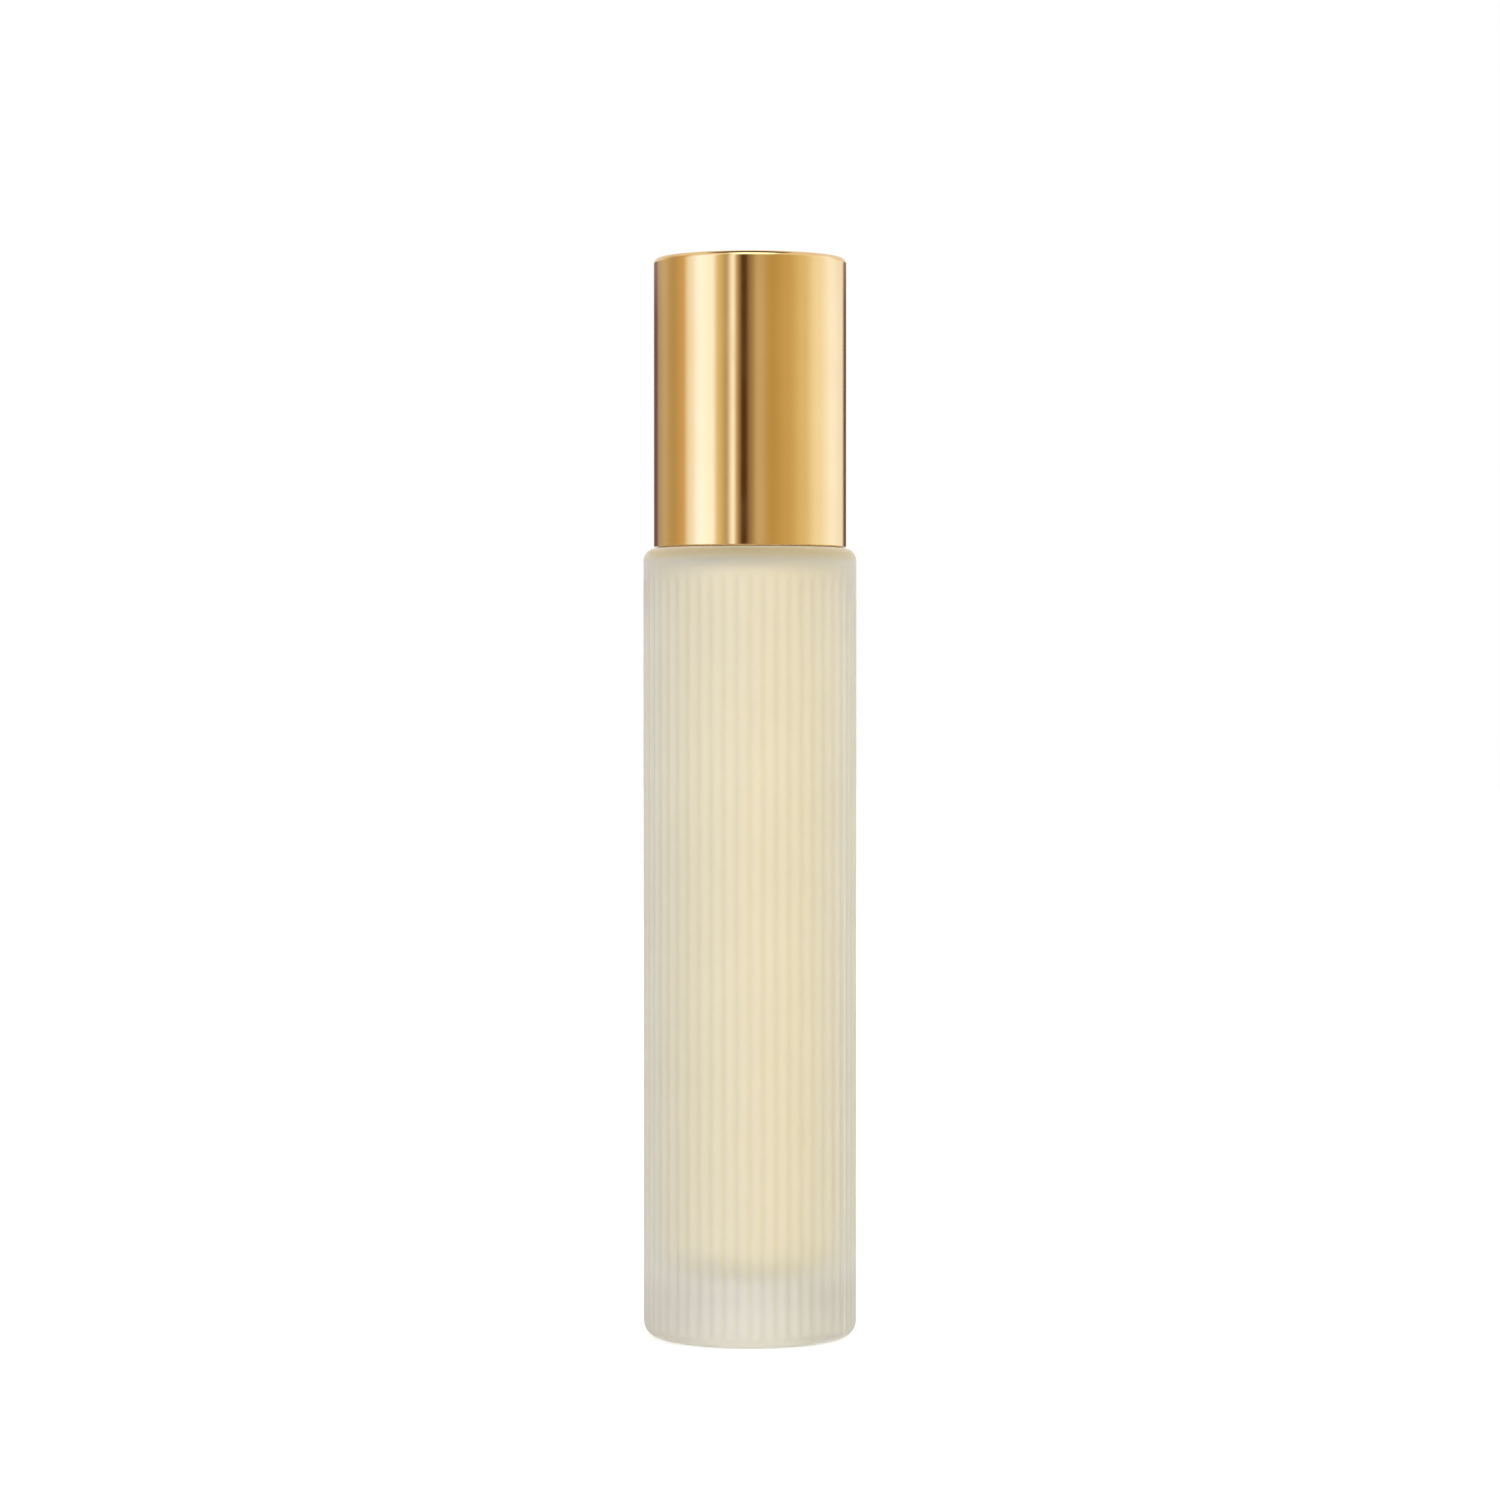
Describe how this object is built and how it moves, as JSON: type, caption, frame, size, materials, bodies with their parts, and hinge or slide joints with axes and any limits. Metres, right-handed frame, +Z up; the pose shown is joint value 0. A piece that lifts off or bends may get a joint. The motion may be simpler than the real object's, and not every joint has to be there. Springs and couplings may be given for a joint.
{
  "type": "pump bottle for liquid foundation",
  "caption": "Slim ribbed frosted glass bottle of liquid foundation, with a screw-on treatment pump under a tall polished gold pull-off cap.",
  "frame": {"origin": "centre of the base, on the plane that the bottle stands on", "axes": "+Z up along the bottle's axis; the nozzle faces -Y at rest"},
  "size_m": [0.03, 0.03, 0.1517],
  "materials": {
    "frosted_glass": "acid-frosted outside, moulded ribs",
    "foundation": "opaque ivory liquid",
    "gold_metal": "mirror-polished pale gold",
    "gold_plastic": "gold-plated plastic",
    "pump_plastic": "natural white moulded plastic",
    "tube_plastic": "milky extruded tube",
    "seal_plastic": "soft bluish-white seal plastic",
    "gasket_foam": "foamed white liner",
    "stainless_steel": "bright stainless"
  },
  "bodies": {
    "bottle": {"glass_bottle": "frosted_glass", "foundation_fluid": "foundation"},
    "pump": {"pump_housing": "pump_plastic", "neck_gasket": "gasket_foam", "dip_tube": "tube_plastic", "ball_cage": "pump_plastic", "return_spring": "stainless_steel", "stem_wiper": "seal_plastic", "stem_guide": "pump_plastic"},
    "collar": {"screw_collar": "pump_plastic", "collar_shell": "gold_metal"},
    "cap": {"overcap_liner": "pump_plastic", "overcap_shell": "gold_metal"},
    "plunger": {"stem": "pump_plastic", "piston": "seal_plastic"},
    "head": {"actuator_core": "pump_plastic", "actuator_shell": "gold_metal", "nozzle": "gold_plastic"},
    "inlet_valve": {"inlet_ball": "stainless_steel"},
    "outlet_valve": {"outlet_ball": "stainless_steel"}
  },
  "joints": [
    {"name": "collar_turn", "type": "hinge", "parent": "pump", "child": "collar", "pos_m": [0, 0, 0.117], "axis": [0, 0, 1], "range_deg": [0, 360]},
    {"name": "pump_lift", "type": "slide", "parent": "bottle", "child": "pump", "axis": [0, 0, 1], "range_m": [0, 0.0032]},
    {"name": "cap_pull", "type": "slide", "parent": "collar", "child": "cap", "axis": [0, 0, 1], "range_m": [0, 0.036]},
    {"name": "head_press", "type": "slide", "parent": "pump", "child": "plunger", "axis": [0, 0, -1], "range_m": [0, 0.0045], "stiffness_N_per_m": 870, "springref_m": -0.0035, "deforming": ["return_spring"]},
    {"name": "head_spin", "type": "hinge", "parent": "plunger", "child": "head", "pos_m": [0, 0, 0.138], "axis": [0, 0, 1], "continuous": true},
    {"name": "inlet_lift", "type": "slide", "parent": "pump", "child": "inlet_valve", "axis": [0, 0, 1], "range_m": [0, 0.0008]},
    {"name": "outlet_lift", "type": "slide", "parent": "plunger", "child": "outlet_valve", "axis": [0, 0, 1], "range_m": [0, 0.0008]}
  ],
  "couplings": [
    {"joint": "pump_lift", "follows": "collar_turn", "m_per_rad": 0.00050611}
  ]
}
